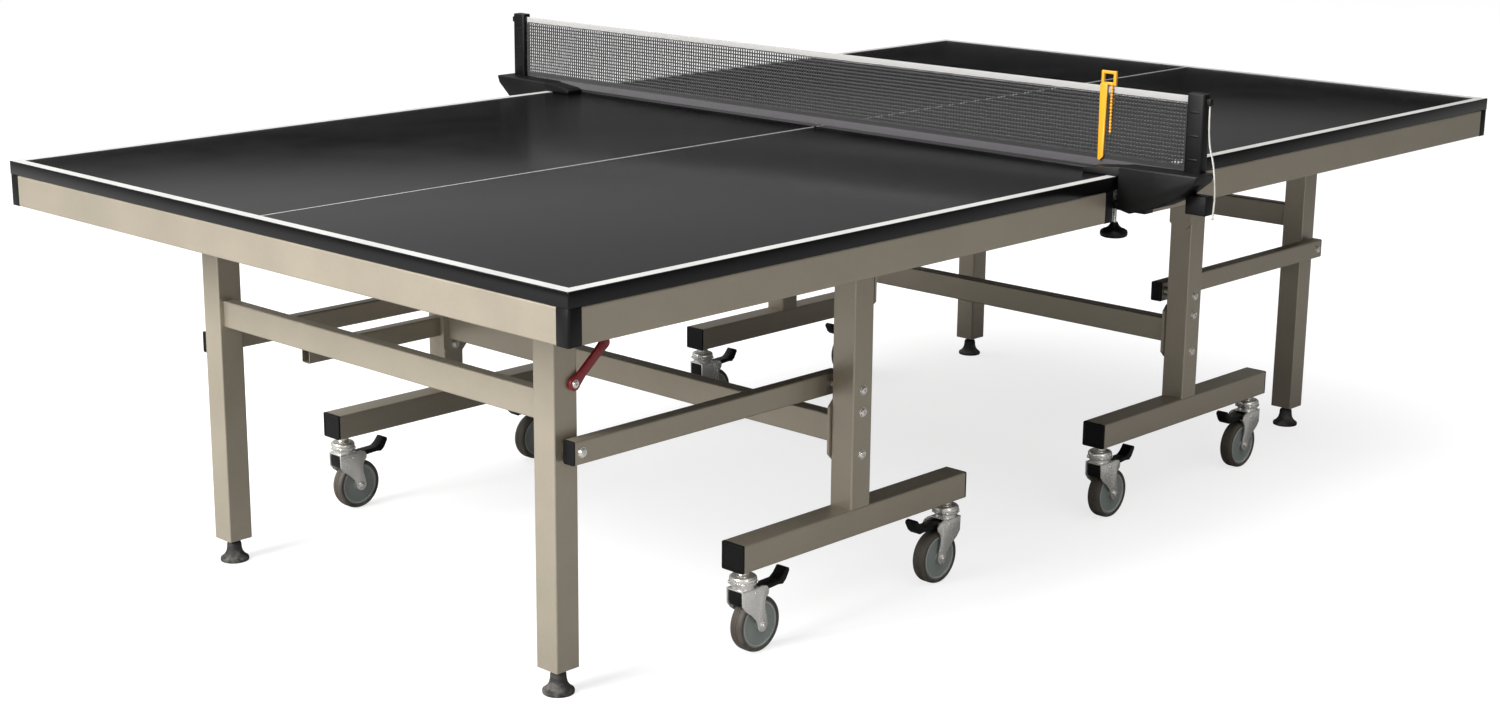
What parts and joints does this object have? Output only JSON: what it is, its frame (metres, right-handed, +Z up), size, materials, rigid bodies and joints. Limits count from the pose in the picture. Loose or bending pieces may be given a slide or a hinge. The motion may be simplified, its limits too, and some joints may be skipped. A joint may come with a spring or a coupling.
{
  "type": "folding ping pong table",
  "caption": "Folding ping pong table in two wheeled halves, with legs and links that fold with each top, net, clamps, levelling feet and braked casters.",
  "frame": {"origin": "on the floor under the middle of the net", "axes": "+X along the table from half A to half B, +Y across it, +Z up"},
  "size_m": [2.74, 1.8691, 0.9405],
  "materials": {
    "playing_board": "black satin coated board",
    "satin_frame": "champagne silver satin",
    "black_plastic": "moulded",
    "bright_steel": "bright plated",
    "black_rubber": "matt",
    "tyre_rubber": "matt grey-black",
    "red_plastic": "gloss",
    "orange_plastic": "gloss",
    "net_fabric": "open mesh with white top tape",
    "cord_fibre": "braided"
  },
  "bodies": {
    "trolley_a": {"wheel_stands_a": "satin_frame", "crossbeam_a": "satin_frame", "base_caps_a": "black_plastic", "trolley_bolts_a": "bright_steel"},
    "top_a": {"board_a": "playing_board", "apron_rails_a": "satin_frame", "corner_guards_a": "black_plastic", "hinge_brackets_a": "satin_frame", "net": "net_fabric", "net_supports": "black_plastic", "net_gauge": "orange_plastic", "net_cord": "cord_fibre"},
    "leg_frame_a": {"legs_a": "satin_frame", "leg_crossbar_a": "satin_frame"},
    "links_a": {"link_bars_a": "satin_frame", "link_fittings_a": "black_plastic"},
    "trolley_b": {"wheel_stands_b": "satin_frame", "crossbeam_b": "satin_frame", "base_caps_b": "black_plastic", "trolley_bolts_b": "bright_steel"},
    "top_b": {"board_b": "playing_board", "apron_rails_b": "satin_frame", "corner_guards_b": "black_plastic", "hinge_brackets_b": "satin_frame"},
    "leg_frame_b": {"legs_b": "satin_frame", "leg_crossbar_b": "satin_frame"},
    "links_b": {"link_bars_b": "satin_frame", "link_fittings_b": "black_plastic"},
    "lever_a": {"lock_lever_a": "red_plastic"},
    "levelling_foot_left_a": {"foot_left_a": "black_rubber"},
    "levelling_foot_right_a": {"foot_right_a": "black_rubber"},
    "lever_b": {"lock_lever_b": "red_plastic"},
    "levelling_foot_left_b": {"foot_left_b": "black_rubber"},
    "levelling_foot_right_b": {"foot_right_b": "black_rubber"},
    "clamp_left": {"clamp_screw_left": "black_plastic"},
    "clamp_right": {"clamp_screw_right": "black_plastic"},
    "caster_outer_left_a": {"fork_outer_left_a": "bright_steel"},
    "wheel_body_outer_left_a": {"wheel_outer_left_a": "tyre_rubber"},
    "brake_outer_left_a": {"pedal_outer_left_a": "black_plastic"},
    "caster_outer_right_a": {"fork_outer_right_a": "bright_steel"},
    "wheel_body_outer_right_a": {"wheel_outer_right_a": "tyre_rubber"},
    "brake_outer_right_a": {"pedal_outer_right_a": "black_plastic"},
    "caster_inner_left_a": {"fork_inner_left_a": "bright_steel"},
    "wheel_body_inner_left_a": {"wheel_inner_left_a": "tyre_rubber"},
    "brake_inner_left_a": {"pedal_inner_left_a": "black_plastic"},
    "caster_inner_right_a": {"fork_inner_right_a": "bright_steel"},
    "wheel_body_inner_right_a": {"wheel_inner_right_a": "tyre_rubber"},
    "brake_inner_right_a": {"pedal_inner_right_a": "black_plastic"},
    "caster_outer_left_b": {"fork_outer_left_b": "bright_steel"},
    "wheel_body_outer_left_b": {"wheel_outer_left_b": "tyre_rubber"},
    "brake_outer_left_b": {"pedal_outer_left_b": "black_plastic"},
    "caster_outer_right_b": {"fork_outer_right_b": "bright_steel"},
    "wheel_body_outer_right_b": {"wheel_outer_right_b": "tyre_rubber"},
    "brake_outer_right_b": {"pedal_outer_right_b": "black_plastic"},
    "caster_inner_left_b": {"fork_inner_left_b": "bright_steel"},
    "wheel_body_inner_left_b": {"wheel_inner_left_b": "tyre_rubber"},
    "brake_inner_left_b": {"pedal_inner_left_b": "black_plastic"},
    "caster_inner_right_b": {"fork_inner_right_b": "bright_steel"},
    "wheel_body_inner_right_b": {"wheel_inner_right_b": "tyre_rubber"},
    "brake_inner_right_b": {"pedal_inner_right_b": "black_plastic"}
  },
  "joints": [
    {"name": "fold_a", "type": "hinge", "parent": "trolley_a", "child": "top_a", "pos_m": [-0.468, 0, 0.69], "axis": [0, 1, 0], "range_deg": [0, 90]},
    {"name": "fold_b", "type": "hinge", "parent": "trolley_b", "child": "top_b", "pos_m": [0.468, 0, 0.69], "axis": [0, -1, 0], "range_deg": [0, 90]},
    {"name": "leg_swing_a", "type": "hinge", "parent": "top_a", "child": "leg_frame_a", "pos_m": [-1.068, 0, 0.69], "axis": [0, -1, 0], "range_deg": [0, 90]},
    {"name": "leg_swing_b", "type": "hinge", "parent": "top_b", "child": "leg_frame_b", "pos_m": [1.068, 0, 0.69], "axis": [0, 1, 0], "range_deg": [0, 90]},
    {"name": "link_swing_a", "type": "hinge", "parent": "trolley_a", "child": "links_a", "pos_m": [-0.518, 0, 0.42], "axis": [0, 1, 0], "range_deg": [0, 90]},
    {"name": "link_swing_b", "type": "hinge", "parent": "trolley_b", "child": "links_b", "pos_m": [0.518, 0, 0.42], "axis": [0, -1, 0], "range_deg": [0, 90]},
    {"name": "roll_apart", "type": "slide", "parent": "trolley_a", "child": "trolley_b", "axis": [1, 0, 0], "range_m": [0, 0.48]},
    {"name": "lever_a_turn", "type": "hinge", "parent": "leg_frame_a", "child": "lever_a", "pos_m": [-1.11, -0.487, 0.526], "axis": [0, -1, 0], "range_deg": [0, 35]},
    {"name": "foot_left_a_extend", "type": "slide", "parent": "leg_frame_a", "child": "levelling_foot_left_a", "axis": [0, 0, -1], "range_m": [0, 0.02]},
    {"name": "foot_right_a_extend", "type": "slide", "parent": "leg_frame_a", "child": "levelling_foot_right_a", "axis": [0, 0, -1], "range_m": [0, 0.02]},
    {"name": "lever_b_turn", "type": "hinge", "parent": "leg_frame_b", "child": "lever_b", "pos_m": [1.11, 0.487, 0.526], "axis": [0, 1, 0], "range_deg": [0, 35]},
    {"name": "foot_left_b_extend", "type": "slide", "parent": "leg_frame_b", "child": "levelling_foot_left_b", "axis": [0, 0, -1], "range_m": [0, 0.02]},
    {"name": "foot_right_b_extend", "type": "slide", "parent": "leg_frame_b", "child": "levelling_foot_right_b", "axis": [0, 0, -1], "range_m": [0, 0.02]},
    {"name": "clamp_left_open", "type": "slide", "parent": "top_a", "child": "clamp_left", "axis": [0, 0, -1], "range_m": [0, 0.015]},
    {"name": "clamp_right_open", "type": "slide", "parent": "top_a", "child": "clamp_right", "axis": [0, 0, -1], "range_m": [0, 0.015]},
    {"name": "swivel_outer_left_a", "type": "hinge", "parent": "trolley_a", "child": "caster_outer_left_a", "pos_m": [-0.791, 0.557, 0.13], "axis": [0, 0, 1], "continuous": true},
    {"name": "roll_outer_left_a", "type": "hinge", "parent": "caster_outer_left_a", "child": "wheel_body_outer_left_a", "pos_m": [-0.761, 0.557, 0.05], "axis": [0, 1, 0], "continuous": true},
    {"name": "brake_outer_left_a_press", "type": "hinge", "parent": "caster_outer_left_a", "child": "brake_outer_left_a", "pos_m": [-0.779, 0.557, 0.111], "axis": [0, 1, 0], "range_deg": [0, 12]},
    {"name": "swivel_outer_right_a", "type": "hinge", "parent": "trolley_a", "child": "caster_outer_right_a", "pos_m": [-0.791, -0.557, 0.13], "axis": [0, 0, 1], "continuous": true},
    {"name": "roll_outer_right_a", "type": "hinge", "parent": "caster_outer_right_a", "child": "wheel_body_outer_right_a", "pos_m": [-0.761, -0.557, 0.05], "axis": [0, 1, 0], "continuous": true},
    {"name": "brake_outer_right_a_press", "type": "hinge", "parent": "caster_outer_right_a", "child": "brake_outer_right_a", "pos_m": [-0.779, -0.557, 0.111], "axis": [0, 1, 0], "range_deg": [0, 12]},
    {"name": "swivel_inner_left_a", "type": "hinge", "parent": "trolley_a", "child": "caster_inner_left_a", "pos_m": [-0.245, 0.557, 0.13], "axis": [0, 0, 1], "continuous": true},
    {"name": "roll_inner_left_a", "type": "hinge", "parent": "caster_inner_left_a", "child": "wheel_body_inner_left_a", "pos_m": [-0.275, 0.557, 0.05], "axis": [0, 1, 0], "continuous": true},
    {"name": "brake_inner_left_a_press", "type": "hinge", "parent": "caster_inner_left_a", "child": "brake_inner_left_a", "pos_m": [-0.257, 0.557, 0.111], "axis": [0, -1, 0], "range_deg": [0, 12]},
    {"name": "swivel_inner_right_a", "type": "hinge", "parent": "trolley_a", "child": "caster_inner_right_a", "pos_m": [-0.245, -0.557, 0.13], "axis": [0, 0, 1], "continuous": true},
    {"name": "roll_inner_right_a", "type": "hinge", "parent": "caster_inner_right_a", "child": "wheel_body_inner_right_a", "pos_m": [-0.275, -0.557, 0.05], "axis": [0, 1, 0], "continuous": true},
    {"name": "brake_inner_right_a_press", "type": "hinge", "parent": "caster_inner_right_a", "child": "brake_inner_right_a", "pos_m": [-0.257, -0.557, 0.111], "axis": [0, -1, 0], "range_deg": [0, 12]},
    {"name": "swivel_outer_left_b", "type": "hinge", "parent": "trolley_b", "child": "caster_outer_left_b", "pos_m": [0.791, -0.557, 0.13], "axis": [0, 0, 1], "continuous": true},
    {"name": "roll_outer_left_b", "type": "hinge", "parent": "caster_outer_left_b", "child": "wheel_body_outer_left_b", "pos_m": [0.761, -0.557, 0.05], "axis": [0, 1, 0], "continuous": true},
    {"name": "brake_outer_left_b_press", "type": "hinge", "parent": "caster_outer_left_b", "child": "brake_outer_left_b", "pos_m": [0.779, -0.557, 0.111], "axis": [0, -1, 0], "range_deg": [0, 12]},
    {"name": "swivel_outer_right_b", "type": "hinge", "parent": "trolley_b", "child": "caster_outer_right_b", "pos_m": [0.791, 0.557, 0.13], "axis": [0, 0, 1], "continuous": true},
    {"name": "roll_outer_right_b", "type": "hinge", "parent": "caster_outer_right_b", "child": "wheel_body_outer_right_b", "pos_m": [0.761, 0.557, 0.05], "axis": [0, 1, 0], "continuous": true},
    {"name": "brake_outer_right_b_press", "type": "hinge", "parent": "caster_outer_right_b", "child": "brake_outer_right_b", "pos_m": [0.779, 0.557, 0.111], "axis": [0, -1, 0], "range_deg": [0, 12]},
    {"name": "swivel_inner_left_b", "type": "hinge", "parent": "trolley_b", "child": "caster_inner_left_b", "pos_m": [0.245, -0.557, 0.13], "axis": [0, 0, 1], "continuous": true},
    {"name": "roll_inner_left_b", "type": "hinge", "parent": "caster_inner_left_b", "child": "wheel_body_inner_left_b", "pos_m": [0.275, -0.557, 0.05], "axis": [0, 1, 0], "continuous": true},
    {"name": "brake_inner_left_b_press", "type": "hinge", "parent": "caster_inner_left_b", "child": "brake_inner_left_b", "pos_m": [0.257, -0.557, 0.111], "axis": [0, 1, 0], "range_deg": [0, 12]},
    {"name": "swivel_inner_right_b", "type": "hinge", "parent": "trolley_b", "child": "caster_inner_right_b", "pos_m": [0.245, 0.557, 0.13], "axis": [0, 0, 1], "continuous": true},
    {"name": "roll_inner_right_b", "type": "hinge", "parent": "caster_inner_right_b", "child": "wheel_body_inner_right_b", "pos_m": [0.275, 0.557, 0.05], "axis": [0, 1, 0], "continuous": true},
    {"name": "brake_inner_right_b_press", "type": "hinge", "parent": "caster_inner_right_b", "child": "brake_inner_right_b", "pos_m": [0.257, 0.557, 0.111], "axis": [0, 1, 0], "range_deg": [0, 12]}
  ],
  "couplings": [
    {"joint": "leg_swing_a", "follows": "fold_a", "ratio": 1},
    {"joint": "link_swing_a", "follows": "fold_a", "ratio": 1},
    {"joint": "leg_swing_b", "follows": "fold_b", "ratio": 1},
    {"joint": "link_swing_b", "follows": "fold_b", "ratio": 1},
    {"joint": "roll_apart", "follows": "fold_a", "m_per_rad": 0.3}
  ]
}
